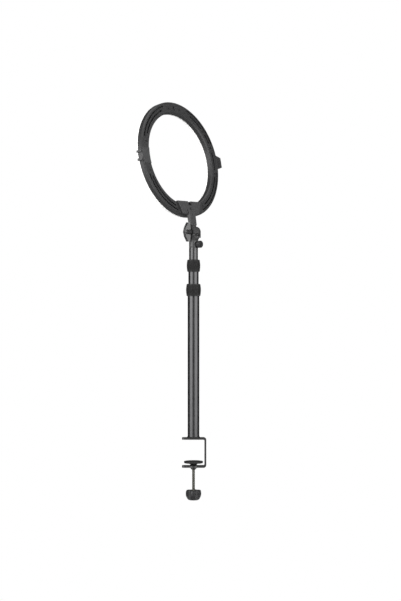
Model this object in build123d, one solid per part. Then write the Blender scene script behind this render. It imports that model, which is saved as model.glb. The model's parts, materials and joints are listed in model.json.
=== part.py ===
from build123d import *
import math
import os

# Ten-inch ring light on a three-section telescopic pole with a desk clamp.
# Millimetres.  The origin is where the pole's axis meets the underside of the clamp's
# top jaw, which is the desk top.  +Z is up and the clamp opens towards -Y.

# ---- Desk clamp ----
PLATE = 4.0                 # thickness of the bent strip
STRIP_WIDTH = 20.0
JAW_GAP = 56.0              # underside of the top jaw to the top of the bottom jaw
JAW_FRONT = 24.7            # pole axis to the open end of the jaws
BEND_RADIUS = 6.0           # outside of each bend
JAW_CORNER = 6.0            # corners of the jaws' open ends
EYE_RADIUS = 12.4           # round swelling of the bottom jaw about the screw
SCREW_RADIUS = 3.175        # quarter-inch clamp screw
SCREW_FIT = 0.05            # radial running clearance
NUT_RADIUS = 7.2            # boss under the bottom jaw
NUT_TIP_RADIUS = 4.3
NUT_DROP = 4.6
NUT_COLLAR_RADIUS = 5.0     # spigot of the boss, pressed through the jaw
PAD_RADIUS = 20.3
PAD_TO_WEB = 3.1            # clear of the web
PAD_RIM = 2.4               # steel rim under the rubber facing
PAD_FACING = 1.6
PAD_RISE = 9.3              # top of the facing above the bottom jaw, screw wound back
PAD_HUB_RADIUS = 6.6
PAD_HUB_DROP = 5.0
BALL_RADIUS = 3.6
BALL_FIT = 0.1
KNOB_DROP = 49.0            # top of the knob below the bottom jaw
KNOB_HEIGHT = 21.0
KNOB_RADIUS = 16.9
KNOB_LOBES = 6
KNOB_PHASE = -4.0           # where the first lobe stands, degrees from +X
KNOB_VALLEY = 4.8           # radius of the cutter between two lobes
KNOB_VALLEY_OUT = 0.6       # its centre beyond the knob
KNOB_INSERT_RADIUS = 5.5
KNOB_INSERT_DEPTH = 14.0

# ---- Base joint between clamp and pole ----
FOOT_EDGE = 1.1             # dark ring under the pole, beyond the tube
FOOT_HEIGHT = 2.0
PLUG_HEIGHT = 20.0
BASE_BOLT_RADIUS = 3.0
BASE_BOLT_HEAD = 6.0        # radius of the countersunk head
BASE_BOLT_CLEARANCE = 0.3

# ---- Pole tubes ----
LOWER_RADIUS = 12.5
TUBE_STEP = 1.5             # between the radii of nested tubes
TUBE_WALL = 1.0
STACK_GAP = 2.0             # between the bottom ends of the nested tubes
BUSH_FIT = 0.1              # radial clearance of a bush in the tube around it
BUSH_RING = 8.0
BUSH_STEM = 10.0
LOWER_TUBE_TOP = 317.0
MIDDLE_EXPOSED = 25.7       # middle tube seen between the two collars
UPPER_EXPOSED = 25.0        # upper tube seen above the upper collar

# ---- Twist-lock collars ----
TUBE_IN_COLLAR = 10.0       # outer tube inside its collar
COLLAR_HEIGHT = 26.3
LOWER_COLLAR_OUT = 3.9      # belly of the rubber grip beyond the tube
UPPER_COLLAR_OUT = 3.95
GRIP_CROWN = 1.4            # belly above the ends of the grip
SLEEVE_WALL = 1.1           # threaded sleeve on the tube
THREAD_FIT = 0.05
COLLAR_WALL = 0.95          # nut under the rubber
COLLAR_LIP = 4.0            # closed top of the nut
COLLET_GAP = 0.03           # collet on the sliding tube, running
COLLET_SLITS = 4
PRESS = 0.02                # radial gap left between pieces that are pressed together

# ---- Head support: spigot, socket and tilt yoke ----
TILT_RISE = 33.7            # tilt axis above the upper tube
PAN_REST = -39.0            # head turned about the pole
TILT_REST = 11.0            # head leaning forwards
SPIGOT_RADIUS = 6.35
SPIGOT_HEIGHT = 16.0
SPIGOT_FLANGE = 1.2
SOCKET_SEAT_GAP = 0.3
CHEEK_RADIUS = 12.0
CHEEK = 3.0
YOKE_HALF_WIDTH = 9.9
SADDLE_RIM = 8.0            # rim of the saddle below the tilt axis
SADDLE_GAP = 0.5
SADDLE_FLARE_RADIUS = 12.3
SADDLE_FLARE_DROP = 18.0    # where the flare meets the socket's cylinder
WASHER = 0.75
WASHER_RADIUS = 9.0
WASHER_GAP = 0.1
TILT_BOLT_RADIUS = 3.0
TILT_BOLT_HEAD = 4.0
PIN_FIT = 0.05
WING_OFF = 2.4              # hub's inner end beyond the yoke
WING_LENGTH = 19.2
WING_SPAN = 20.5            # half the height over the two wings
WING_THICKNESS = 6.0
WING_HUB_RADIUS = 6.2
WING_INSERT_RADIUS = 4.4
WING_INSERT_LENGTH = 8.0
THUMB_DROP = 26.0           # thumb screw below the tilt axis
THUMB_RADIUS = 7.7
THUMB_OFF = 1.5             # knob beyond the socket
THUMB_LENGTH = 10.0
THUMB_STUD_RADIUS = 2.5
THUMB_FLUTES = 16

# ---- Ring ----
RING_DROP = 35.5            # rim above the tilt axis, along the ring
RIM_OFFSET = 5.5            # rear rim of the ring in front of the tilt axis
RING_RADIUS = 127.0
BAND = 25.0                 # rim to hole
CHORD_STEP = 7.5            # flat bottom edge of the hole inside its circle
SHELL_WALL = 2.0
SHELL_DEPTH = 9.0           # black shell's side wall
SHELL_CROWN = 2.8           # rear face above the rim
SHELL_CHAMFER = 2.6
DIFFUSER_SHOW = 5.0         # white front in front of the black shell
DIFFUSER_WALL = 1.7
DIFFUSER_INSET = 0.5
DIFFUSER_LIP = 5.0          # part of the diffuser inside the shell
NEST_GAP = 0.1
SLOT_WIDTH = 2.8
INNER_SLOT_IN = 14.5        # vent slots and ridge inside the rim
OUTER_SLOT_IN = 7.0
RIDGE_IN = 10.8
RIDGE_WIDTH = 1.8
RIDGE_HEIGHT = 0.6
# Vent slots as (from, to) in degrees clockwise from the top, seen from the rear.
OUTER_SLOTS = [(-69, -18), (-162, -110), (22, 69), (101, 156)]
INNER_SLOTS = [(-64, -23), (-158, -113), (28, 48), (57, 67), (79, 98), (107, 149)]
TOP_SLOT = (19.0, 9.0)      # short radial slot at the top, from and to inside the rim
SHELL_SCREWS = [-9, 9, 52.5, 73, 103, 154, -74, -106]

# ---- Light source ----
BOARD_THICKNESS = 1.6
BOARD_RIB = 1.8             # ribs that hold the board off the shell's floor
BOARD_MARGIN = 2.5
CHIP = (3.5, 2.8, 0.8)
CHIP_PAIRS = 40
CHIP_CLEAR = 5.0            # from a chip's centre to a screw's

# ---- Screws ----
SMALL_SCREW_RADIUS = 1.2
SMALL_HEAD_RADIUS = 2.3
SMALL_HEAD = 1.5
POST_RADIUS = 2.4

# ---- Control pod ----
POD_BASE = 16.0             # half length at the ring
POD_TIP = 11.0              # half length at the outer edge
POD_REACH = 15.2            # beyond the ring's rim
POD_RISE = 2.5              # middle of the pod above the ring's centre
POD_RAISE = 1.0             # rear face above the rim plane
POD_WALL = 1.6
POD_COVER = 1.4
BUTTON_PITCH = 8.4
BUTTON_RADIUS = 2.3
BUTTON_GAP = 0.3
BUTTON_OFFSET = 4.2         # button centres beyond the rim
BUTTON_PROUD = 0.9
BUTTON_TRAVEL = 0.6
INLET_RADIUS = 3.1
INLET_BORE = 2.75
INLET_PIN = 0.95
INLET_LENGTH = 7.5

# ---- Cold shoe ----
SHOE_HALF_ANGLE = 8.4
SHOE_RAISE = 1.2
SHOE_SLOT = 18.6
SHOE_THROAT = 12.6
SHOE_SLOT_HEIGHT = 2.1
SHOE_WALL = 2.0
SHOE_LIP = 1.6
SHOE_BASE = 1.2

# ---- Neck ----
NECK_TOP_HALF = 10.0
NECK_LOW_HALF = 9.0
NECK_BACK = 11.0            # rear face of the neck above the rim plane
NECK_RIB_HALF = 2.4
NECK_RIB = 1.2
PAD_TOP_HALF = 39.0         # raised pad on the ring: half width at the chord
PAD_LOW_HALF = 24.0
PAD_BACK = 7.5
NOTCH_HALF = 5.0
NOTCH_DEEP = 8.8
NOTCH_FLOOR = 1.2
CORE_SLOT = 3.0             # cored slot across the back of the knuckle and the cheeks
CORE_DROP = 6.0
CORE_FLOOR = 4.6
CORE_WALL = 1.2             # closes the slot on the side away from the wing knob
SOCKET_INSERT_RADIUS = 4.5
SOCKET_INSERT_BORE = 2.6    # quarter-inch thread, minor radius
SOCKET_INSERT_DEPTH = 8.5
ACCESSORY_WALL = 2.0        # of the block around the threaded insert
BRACKET_SCREW_IN = 16.0     # screws of the neck inside the rim
INSIDE_SCREW_OUT = 27.0     # the two driven from inside the shell, off the middle

UPRIGHT = (Align.CENTER, Align.CENTER, Align.MIN)
SMALL = 0.01

# ---- Sizes that follow from the ones above ----
WEB_BACK = PAD_RADIUS + PAD_TO_WEB + PLATE
PAD_TOP = PAD_RISE - JAW_GAP
KNOB_TOP = -JAW_GAP - PLATE - KNOB_DROP
FOOT_RADIUS = LOWER_RADIUS + FOOT_EDGE
MIDDLE_RADIUS = LOWER_RADIUS - TUBE_STEP
UPPER_RADIUS = MIDDLE_RADIUS - TUBE_STEP
POLE_FOOT = PLATE + FOOT_HEIGHT
PLUG_TOP = POLE_FOOT + PLUG_HEIGHT
MIDDLE_FOOT = PLUG_TOP + STACK_GAP
UPPER_FOOT = MIDDLE_FOOT + BUSH_RING + BUSH_STEM + STACK_GAP
LOWER_COLLAR_BOTTOM = LOWER_TUBE_TOP - TUBE_IN_COLLAR
UPPER_COLLAR_BOTTOM = LOWER_COLLAR_BOTTOM + COLLAR_HEIGHT + MIDDLE_EXPOSED
MIDDLE_TUBE_TOP = UPPER_COLLAR_BOTTOM + TUBE_IN_COLLAR
UPPER_TUBE_TOP = UPPER_COLLAR_BOTTOM + COLLAR_HEIGHT + UPPER_EXPOSED
TILT_HEIGHT = UPPER_TUBE_TOP + TILT_RISE
SOCKET_FOOT = SPIGOT_FLANGE + SOCKET_SEAT_GAP - TILT_RISE
SOCKET_RADIUS = UPPER_RADIUS
THUMB_START = SOCKET_RADIUS + THUMB_OFF
THUMB_END = THUMB_START + THUMB_LENGTH
WING_START = YOKE_HALF_WIDTH + WING_OFF
WING_END = WING_START + WING_LENGTH
KNUCKLE_RADIUS = CHEEK_RADIUS - 0.6
CHEEK_INNER = YOKE_HALF_WIDTH - CHEEK
KNUCKLE_HALF = CHEEK_INNER - WASHER - WASHER_GAP
RING_CENTRE = RING_RADIUS + RING_DROP
HOLE_RADIUS = RING_RADIUS - BAND
CHORD = HOLE_RADIUS - CHORD_STEP
INNER_SLOT_RADIUS = RING_RADIUS - INNER_SLOT_IN
OUTER_SLOT_RADIUS = RING_RADIUS - OUTER_SLOT_IN
RIDGE_RADIUS = RING_RADIUS - RIDGE_IN
BRACKET_SCREW = (0, BRACKET_SCREW_IN - RING_RADIUS)
INSIDE_SCREWS = [(side * INSIDE_SCREW_OUT, BRACKET_SCREW_IN - RING_RADIUS) for side in (1, -1)]
BOARD_BACK = SHELL_CROWN - SHELL_WALL - BOARD_RIB
DIFFUSER_FRONT = -SHELL_DEPTH - DIFFUSER_SHOW

# The head is modelled upright with the tilt axis along X through the origin and the
# light facing -Y.  Ring pieces are drawn as seen from the rear: x right, y up, z to
# the rear, with z = 0 at the shell's rear rim.
PAN = Pos(0, 0, TILT_HEIGHT) * Rot(0, 0, PAN_REST)
HEAD = PAN * Rot(TILT_REST, 0, 0)
RING_PLANE = Plane(origin=(0, -RIM_OFFSET, RING_CENTRE), x_dir=(-1, 0, 0), z_dir=(0, 1, 0))
RING = HEAD * RING_PLANE.location
ALONG_X = Rot(0, 90, 0)
ALONG_Y = Rot(-90, 0, 0)


def disc(radius, low, high):
    """Cylinder about Z between two heights."""
    return Pos(0, 0, low) * Cylinder(radius, high - low, align=UPRIGHT)


def sleeve(outer, inner, low, high):
    """Plain tube about Z."""
    return disc(outer, low, high) - disc(inner, low - 1, high + 1)


def turned(points):
    """Solid turned about Z from a closed outline of (radius, height) points."""
    face = make_face(Polyline(*points, close=True))
    return revolve(Plane.XZ * face, Axis.Z)


def slab(x_range, y_range, z_range):
    """Box from its three ranges."""
    size = [high - low for low, high in (x_range, y_range, z_range)]
    low = (x_range[0], y_range[0], z_range[0])
    return Pos(*low) * Box(*size, align=(Align.MIN, Align.MIN, Align.MIN))


def plate(face, low, high):
    """Flat piece between two heights from a face drawn on the XY plane."""
    return Pos(0, 0, low) * extrude(face, high - low)


def polar(radius, clockwise):
    """Point on the ring at an angle in degrees clockwise from the top."""
    angle = math.radians(clockwise)
    return radius * math.sin(angle), radius * math.cos(angle)


def arc_slot(radius, width, first, last):
    """Round-ended arc from one clockwise angle to another."""
    return SlotArc(CenterArc((0, 0), radius, 90 - last, last - first), width)


# ---- Desk clamp ----

def clamp_bracket():
    """Bent steel strip: top jaw, web and bottom jaw."""
    height = JAW_GAP + 2 * PLATE
    middle = (WEB_BACK - JAW_FRONT) / 2
    length = WEB_BACK + JAW_FRONT
    outline = Pos(middle, PLATE - height / 2) * Rectangle(length, height)
    outline = fillet(outline.vertices().sort_by(Axis.X)[-2:], BEND_RADIUS)
    gap = Pos(-PLATE + middle, PLATE - height / 2) * Rectangle(length, JAW_GAP)
    gap = fillet(gap.vertices().sort_by(Axis.X)[-2:], BEND_RADIUS - PLATE)
    strip = extrude(Plane.YZ * (outline - gap), STRIP_WIDTH / 2, both=True)
    ends = strip.edges().filter_by(Axis.Z).group_by(Axis.Y)[0]
    strip = fillet(ends, JAW_CORNER)
    strip += disc(EYE_RADIUS, -JAW_GAP - PLATE, -JAW_GAP)
    head = BASE_BOLT_HEAD + BASE_BOLT_CLEARANCE
    hole = BASE_BOLT_RADIUS + BASE_BOLT_CLEARANCE
    strip -= disc(hole, -1, PLATE + 1)
    strip -= turned([(0, 0), (head, 0), (hole, head - hole), (0, head - hole)])
    return strip - disc(NUT_COLLAR_RADIUS + PRESS, -JAW_GAP - PLATE - 1, -JAW_GAP + 1)


def clamp_nut():
    """Threaded steel boss pressed up through the bottom jaw."""
    under = -JAW_GAP - PLATE
    bore = SCREW_RADIUS + SCREW_FIT
    body = turned([(bore, -JAW_GAP), (NUT_COLLAR_RADIUS, -JAW_GAP), (NUT_COLLAR_RADIUS, under),
                   (NUT_RADIUS, under), (NUT_RADIUS, under - 1.2), (NUT_TIP_RADIUS, under - NUT_DROP),
                   (bore, under - NUT_DROP)])
    return body


def clamp_pad():
    """Pressed steel pad with a flared hub that holds the screw's ball end."""
    top = PAD_TOP - PAD_FACING
    rim = top - PAD_RIM
    foot = rim - PAD_HUB_DROP
    ball = ball_centre()
    edge = 0.8
    profile = Polyline((0, foot), (PAD_HUB_RADIUS, foot), (PAD_HUB_RADIUS + 0.8, foot + 2.2),
                       (PAD_HUB_RADIUS + 3.6, rim - 0.9), (PAD_RADIUS - 8, rim),
                       (PAD_RADIUS - edge, rim), (PAD_RADIUS, rim + edge), (PAD_RADIUS, top),
                       (0, top), close=True)
    body = revolve(Plane.XZ * make_face(profile), Axis.Z)
    body -= Pos(0, 0, ball) * Sphere(BALL_RADIUS + BALL_FIT)
    return body - disc(SCREW_RADIUS + 0.4, foot - 1, ball)


def ball_centre():
    """Height of the ball inside the pad's hub."""
    return PAD_TOP - PAD_FACING - 0.6 - BALL_RADIUS - BALL_FIT


def pad_facing():
    """Rubber disc bonded to the top of the pad."""
    body = disc(PAD_RADIUS, PAD_TOP - PAD_FACING, PAD_TOP)
    return fillet(body.edges().group_by(Axis.Z)[-1], PAD_FACING / 2)


def clamp_screw():
    """Quarter-inch screw with a ball at its upper end."""
    body = disc(SCREW_RADIUS, KNOB_TOP - KNOB_INSERT_DEPTH, ball_centre())
    return body + Pos(0, 0, ball_centre()) * Sphere(BALL_RADIUS)


def knob_insert():
    """Steel bush moulded into the clamp knob."""
    return sleeve(KNOB_INSERT_RADIUS, SCREW_RADIUS + PRESS, KNOB_TOP - KNOB_INSERT_DEPTH, KNOB_TOP)


def clamp_knob():
    """Lobed knob with a flat top and a rounded foot."""
    foot = KNOB_TOP - KNOB_HEIGHT
    side = 0.6 * KNOB_HEIGHT
    outline = Polyline((0, KNOB_TOP), (KNOB_RADIUS - 1.6, KNOB_TOP), (KNOB_RADIUS - 0.8, KNOB_TOP - 1),
                       (KNOB_RADIUS, KNOB_TOP - 5), (KNOB_RADIUS, foot + side))
    foot_curve = Spline((KNOB_RADIUS, foot + side), (0.83 * KNOB_RADIUS, foot + 0.2 * KNOB_HEIGHT),
                        (0.5 * KNOB_RADIUS, foot), tangents=[(0, -1), (-1, -0.1)])
    base = Polyline((0.5 * KNOB_RADIUS, foot), (0, foot), (0, KNOB_TOP))
    body = revolve(Plane.XZ * make_face(outline + foot_curve + base), Axis.Z)
    for lobe in range(KNOB_LOBES):
        angle = KNOB_PHASE + 360 / KNOB_LOBES * (lobe + 0.5)
        cutter = disc(KNOB_VALLEY, foot - 1, KNOB_TOP + 1)
        body -= Rot(0, 0, angle) * Pos(KNOB_RADIUS + KNOB_VALLEY_OUT, 0, 0) * cutter
    return body - disc(KNOB_INSERT_RADIUS + PRESS, KNOB_TOP - KNOB_INSERT_DEPTH, KNOB_TOP + 1)


# ---- Pole ----

def foot_ring():
    """Dark washer between the clamp and the pole."""
    return sleeve(FOOT_RADIUS, BASE_BOLT_RADIUS + BASE_BOLT_CLEARANCE, PLATE, POLE_FOOT)


def base_plug():
    """Threaded plug pressed into the foot of the pole."""
    return sleeve(LOWER_RADIUS - TUBE_WALL - PRESS, BASE_BOLT_RADIUS + PRESS, POLE_FOOT, PLUG_TOP)


def base_bolt():
    """Countersunk bolt that holds the pole on the clamp, flush with the jaw."""
    cone = BASE_BOLT_HEAD - BASE_BOLT_RADIUS
    body = turned([(0, 0), (BASE_BOLT_HEAD, 0), (BASE_BOLT_RADIUS, cone),
                   (BASE_BOLT_RADIUS, PLUG_TOP - 3), (0, PLUG_TOP - 3)])
    return body


def pole_tube(radius, low, high):
    """One section of the pole."""
    return sleeve(radius, radius - TUBE_WALL, low, high)


def slide_bush(radius, around, foot):
    """Plastic bush in the foot of a sliding tube, running in the tube around it."""
    outer = around - TUBE_WALL - BUSH_FIT
    stem = radius - TUBE_WALL - PRESS
    bore = stem - 1.5
    return turned([(bore, foot), (outer, foot), (outer, foot + BUSH_RING), (stem, foot + BUSH_RING),
                   (stem, foot + BUSH_RING + BUSH_STEM), (bore, foot + BUSH_RING + BUSH_STEM)])


def lock_sleeve(tube_radius, bottom):
    """Threaded sleeve pressed over the top of a tube."""
    inner = tube_radius + PRESS
    return sleeve(inner + SLEEVE_WALL, inner, bottom + 2, bottom + COLLAR_HEIGHT - 8)


def lock_collet(tube_radius, inner_radius, bottom):
    """Slit plastic collet that grips the sliding tube."""
    low = bottom + TUBE_IN_COLLAR + 0.1
    shoulder = bottom + COLLAR_HEIGHT - 8 + 0.1
    high = bottom + COLLAR_HEIGHT - 2.5
    bore = inner_radius + COLLET_GAP
    wide = tube_radius + 0.6
    body = turned([(bore, low), (tube_radius - 0.1, low), (tube_radius - 0.1, shoulder),
                   (wide, shoulder), (wide, shoulder + 1.5), (bore + 0.9, high), (bore, high)])
    for slit in range(COLLET_SLITS):
        cut = slab((0, 2 * tube_radius), (-0.6, 0.6), (shoulder - 3, high + 1))
        body -= Rot(0, 0, 360 / COLLET_SLITS * slit) * cut
    return body


def collar_nut(tube_radius, inner_radius, bottom):
    """Internally threaded collar that closes the collet."""
    thread = tube_radius + PRESS + SLEEVE_WALL + THREAD_FIT
    outer = thread + COLLAR_WALL
    top = bottom + COLLAR_HEIGHT
    seat = top - COLLAR_LIP - 2
    throat = inner_radius + 0.4
    hollow = [(tube_radius + 0.4, bottom + 1.2), (thread, bottom + 1.2), (thread, seat),
              (throat + 1.2, top - 1.5), (throat, top - 1.5), (throat, top),
              (outer - 1.2, top), (outer, top - 1.2), (outer, bottom + 1), (outer - 1, bottom),
              (tube_radius + 0.4, bottom)]
    return turned(hollow)


def collar_grip(tube_radius, belly, bottom):
    """Barrel-shaped rubber grip on the collar."""
    inner = tube_radius + 2 * PRESS + SLEEVE_WALL + THREAD_FIT + COLLAR_WALL
    low = bottom + 1.4
    high = bottom + COLLAR_HEIGHT - 1.6
    end = belly - GRIP_CROWN
    round_end = min(1.2, (end - inner) / 2)
    side = ThreePointArc((end, low + round_end), (belly, (low + high) / 2), (end, high - round_end))
    rest = Polyline((end, high - round_end), (end - round_end, high), (inner, high), (inner, low),
                    (end - round_end, low), (end, low + round_end))
    return revolve(Plane.XZ * make_face(side + rest), Axis.Z)


def spigot():
    """Turned plug in the top of the pole with the spigot that carries the head."""
    plug = UPPER_RADIUS - TUBE_WALL - PRESS
    top = UPPER_TUBE_TOP + SPIGOT_FLANGE
    body = turned([(0, UPPER_TUBE_TOP - 14), (plug, UPPER_TUBE_TOP - 14), (plug, UPPER_TUBE_TOP),
                   (UPPER_RADIUS, UPPER_TUBE_TOP), (UPPER_RADIUS, top), (SPIGOT_RADIUS, top),
                   (SPIGOT_RADIUS, top + SPIGOT_HEIGHT - 1), (SPIGOT_RADIUS - 1, top + SPIGOT_HEIGHT),
                   (0, top + SPIGOT_HEIGHT)])
    return body


# ---- Head support, drawn about the tilt axis before it is turned ----

def head_socket():
    """Socket over the spigot, with the yoke's saddle and two cheeks."""
    width = slab((-YOKE_HALF_WIDTH, YOKE_HALF_WIDTH), (-40, 40), (-80, 40))
    foot = SOCKET_FOOT
    flare = -SADDLE_FLARE_DROP
    body = turned([(0, foot), (SOCKET_RADIUS - 0.6, foot), (SOCKET_RADIUS, foot + 0.6),
                   (SOCKET_RADIUS, flare), (SADDLE_FLARE_RADIUS, -12.5),
                   (SADDLE_FLARE_RADIUS, -SADDLE_RIM), (0, -SADDLE_RIM)])
    cheeks = ALONG_X * disc(CHEEK_RADIUS, -YOKE_HALF_WIDTH, YOKE_HALF_WIDTH)
    cheeks += slab((-YOKE_HALF_WIDTH, YOKE_HALF_WIDTH), (0, CHEEK_RADIUS), (-CHEEK_RADIUS, 0))
    body = (body & width) + cheeks
    body -= ALONG_X * disc(KNUCKLE_RADIUS + SADDLE_GAP, -CHEEK_INNER, CHEEK_INNER)
    body -= slab((-CHEEK_INNER, CHEEK_INNER), (-40, 40), (-SADDLE_RIM, 40))
    slot_foot = -CORE_DROP - CORE_SLOT / 2
    body -= slab((CORE_WALL - YOKE_HALF_WIDTH, 20), (CORE_FLOOR, 40), (slot_foot, slot_foot + CORE_SLOT))
    body -= ALONG_X * disc(TILT_BOLT_RADIUS + PRESS, -20, 20)
    body -= disc(SPIGOT_RADIUS + PIN_FIT, foot - 1, foot + SPIGOT_HEIGHT - SOCKET_SEAT_GAP + 0.6)
    body -= Pos(0, 0, -THUMB_DROP) * ALONG_Y * disc(THUMB_STUD_RADIUS + PIN_FIT, 0, 20)
    return body


def friction_washers():
    """Two friction washers between the knuckle and the cheeks."""
    one = sleeve(WASHER_RADIUS, TILT_BOLT_RADIUS + PRESS, CHEEK_INNER - WASHER, CHEEK_INNER)
    first = ALONG_X * one
    return Compound(children=[first, mirror(first, about=Plane.YZ)])


def tilt_bolt():
    """Hex bolt along the tilt axis, its head in the far cheek."""
    head = ALONG_X * plate(RegularPolygon(5.8, 6), -YOKE_HALF_WIDTH - TILT_BOLT_HEAD, -YOKE_HALF_WIDTH)
    shank = ALONG_X * disc(TILT_BOLT_RADIUS, -YOKE_HALF_WIDTH, WING_START + WING_INSERT_LENGTH)
    return head + shank


def knob_washer():
    """Plain washer between the near cheek and the wing knob."""
    return ALONG_X * sleeve(7.0, TILT_BOLT_RADIUS + PRESS, YOKE_HALF_WIDTH, YOKE_HALF_WIDTH + 1.2)


def wing_knob():
    """Two-winged knob that locks the tilt."""
    side = [(WING_START + 0.7, 9), (WING_START + 3, WING_SPAN), (WING_START + 8.6, WING_SPAN),
            (WING_END - 2.6, 9.5), (WING_END, 0)]
    other = [(x, -z) for x, z in reversed(side[:-1])]
    wings = extrude(Plane.XZ * make_face(Polyline(*side, *other, close=True)), WING_THICKNESS / 2, both=True)
    wings = fillet(wings.edges().filter_by(Axis.Y), 1.4)
    hub = ALONG_X * turned([(0, WING_START), (WING_HUB_RADIUS, WING_START),
                            (WING_HUB_RADIUS - 0.6, WING_END - 3), (WING_HUB_RADIUS - 2, WING_END - 1),
                            (0, WING_END - 1)])
    bore = ALONG_X * disc(WING_INSERT_RADIUS + PRESS, WING_START - 1, WING_START + WING_INSERT_LENGTH + 1)
    return wings + hub - bore


def wing_insert():
    """Brass nut moulded into the wing knob."""
    end = WING_START + WING_INSERT_LENGTH + 0.8
    return ALONG_X * sleeve(WING_INSERT_RADIUS, TILT_BOLT_RADIUS + PIN_FIT, WING_START, end)


def thumb_stud():
    """Steel stud of the thumb screw."""
    start = SPIGOT_RADIUS + 0.3
    return Pos(0, 0, -THUMB_DROP) * ALONG_Y * disc(THUMB_STUD_RADIUS, start, THUMB_END - 3)


def thumb_knob():
    """Fluted head of the thumb screw."""
    edge = 0.9
    body = turned([(0, THUMB_START), (THUMB_RADIUS - 1.6, THUMB_START), (THUMB_RADIUS, THUMB_START + 1.8),
                   (THUMB_RADIUS, THUMB_END - edge), (THUMB_RADIUS - edge, THUMB_END),
                   (THUMB_RADIUS - 2.2, THUMB_END), (THUMB_RADIUS - 2.8, THUMB_END - 0.8),
                   (0, THUMB_END - 0.8)])
    for flute in range(THUMB_FLUTES):
        cutter = Pos(THUMB_RADIUS + 0.35, 0, 0) * disc(0.9, THUMB_START + 2, THUMB_END + 1)
        body -= Rot(0, 0, 360 / THUMB_FLUTES * flute) * cutter
    body -= disc(THUMB_STUD_RADIUS + PRESS, THUMB_START - 1, THUMB_END - 3)
    return Pos(0, 0, -THUMB_DROP) * ALONG_Y * body


# ---- Ring pieces, drawn as seen from the rear ----

def band(outer, inner, chord):
    """Flat ring whose hole has a straight bottom edge."""
    above = Pos(0, 2 * outer - chord) * Rectangle(4 * outer, 4 * outer)
    return Circle(outer) - (Circle(inner) & above)


def pod_outline(inset):
    """Trapezoid of the control pod, drawn in by a wall."""
    base = POD_BASE - inset
    tip = POD_TIP - inset
    reach = RING_RADIUS + POD_REACH - inset
    root = RING_RADIUS - 4
    face = make_face(Polyline((root, -base), (RING_RADIUS - 1, -base), (reach, -tip), (reach, tip),
                              (RING_RADIUS - 1, base), (root, base), close=True))
    return Pos(0, POD_RISE) * face


def screw_points():
    """Centres of the screws that hold the rear shell."""
    return [polar(INNER_SLOT_RADIUS, angle) for angle in SHELL_SCREWS]


def button_points():
    """Centres of the push buttons on the pod."""
    x = RING_RADIUS + BUTTON_OFFSET
    return [(x, POD_RISE + step * BUTTON_PITCH) for step in (1, 0, -1)]


def shell_vents():
    """Cutters for the vent slots."""
    cuts = [arc_slot(OUTER_SLOT_RADIUS, SLOT_WIDTH, *span) for span in OUTER_SLOTS]
    cuts += [arc_slot(INNER_SLOT_RADIUS, SLOT_WIDTH, *span) for span in INNER_SLOTS]
    low, high = [RING_RADIUS - depth for depth in TOP_SLOT]
    cuts.append(Pos(0, (low + high) / 2) * Rectangle(SLOT_WIDTH, high - low))
    floor = SHELL_CROWN - SHELL_WALL
    return [plate(cut, floor - SMALL, SHELL_CROWN + RIDGE_HEIGHT + 1) for cut in cuts]


def rear_shell():
    """Black rear shell of the ring with the control pod's tub."""
    body = plate(band(RING_RADIUS, HOLE_RADIUS, CHORD), -SHELL_DEPTH, SHELL_CROWN)
    body = chamfer(body.edges().group_by(Axis.Z)[-1], SHELL_CHAMFER)
    pod = plate(pod_outline(0), -SHELL_DEPTH, POD_RAISE)
    pod = chamfer(pod.faces().sort_by(Axis.Z)[-1].edges(), 0.9)
    body += pod
    for span in OUTER_SLOTS:
        ridge = arc_slot(RIDGE_RADIUS, RIDGE_WIDTH, *span)
        body += plate(ridge, SHELL_CROWN - 0.5, SHELL_CROWN + RIDGE_HEIGHT)
    floor = SHELL_CROWN - SHELL_WALL
    cavity = band(RING_RADIUS - SHELL_WALL, HOLE_RADIUS + SHELL_WALL, CHORD + SHELL_WALL)
    body -= plate(cavity, -SHELL_DEPTH - 1, floor)
    pod_cavity = pod_outline(POD_WALL) - Circle(RING_RADIUS)
    body -= plate(pod_cavity, -SHELL_DEPTH - 1, POD_RAISE - POD_WALL)
    for rib in board_rib_radii():
        body += sleeve(rib + 0.6, rib - 0.6, floor - BOARD_RIB, floor + 0.5)
    for cut in shell_vents():
        body -= cut
    for x, y in screw_points():
        body -= Pos(x, y, 0) * disc(SMALL_HEAD_RADIUS + 0.2, SHELL_CROWN - SMALL_HEAD, SHELL_CROWN + 2)
        body -= Pos(x, y, 0) * disc(SMALL_SCREW_RADIUS + 0.2, -1, SHELL_CROWN)
    for x, y in [BRACKET_SCREW, *INSIDE_SCREWS]:
        body -= Pos(x, y, 0) * disc(SMALL_SCREW_RADIUS + PRESS, floor - 4, SHELL_CROWN + 1)
    body = body + accessory_block() - accessory_bore(SOCKET_INSERT_RADIUS + PRESS) - notch()
    for x, y in button_points():
        body -= Pos(x, y, 0) * disc(BUTTON_RADIUS + BUTTON_GAP, -SHELL_DEPTH, POD_RAISE + 1)
    inlet = inlet_axis() * disc(INLET_RADIUS + PRESS, -POD_WALL - 1, 2)
    wire_way = Pos(RING_RADIUS, POD_RISE + POD_BASE - 5, -SHELL_DEPTH / 2) * ALONG_X * disc(1.6, -5, 3)
    return body - inlet - wire_way


def board_rib_radii():
    """The two ring ribs that carry the light board."""
    return [HOLE_RADIUS + SHELL_WALL + BOARD_MARGIN + 1, RING_RADIUS - SHELL_WALL - BOARD_MARGIN - 1]


def inlet_axis():
    """Location at the power inlet's mouth, with +Z out of the pod."""
    return Pos(RING_RADIUS + POD_REACH, POD_RISE, -SHELL_DEPTH / 2) * ALONG_X


def accessory_block():
    """Block inside the hole's flat bottom edge that carries the accessory thread."""
    half = SOCKET_INSERT_RADIUS + ACCESSORY_WALL
    foot = -CHORD - SOCKET_INSERT_DEPTH - NEST_GAP
    return slab((-half, half), (foot, -CHORD), (-SHELL_DEPTH, SHELL_CROWN - SHELL_WALL + SMALL))


def accessory_bore(radius):
    """Cylinder down from the chord at the accessory thread."""
    return accessory_axis() * disc(radius, -1, SOCKET_INSERT_DEPTH)


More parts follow.
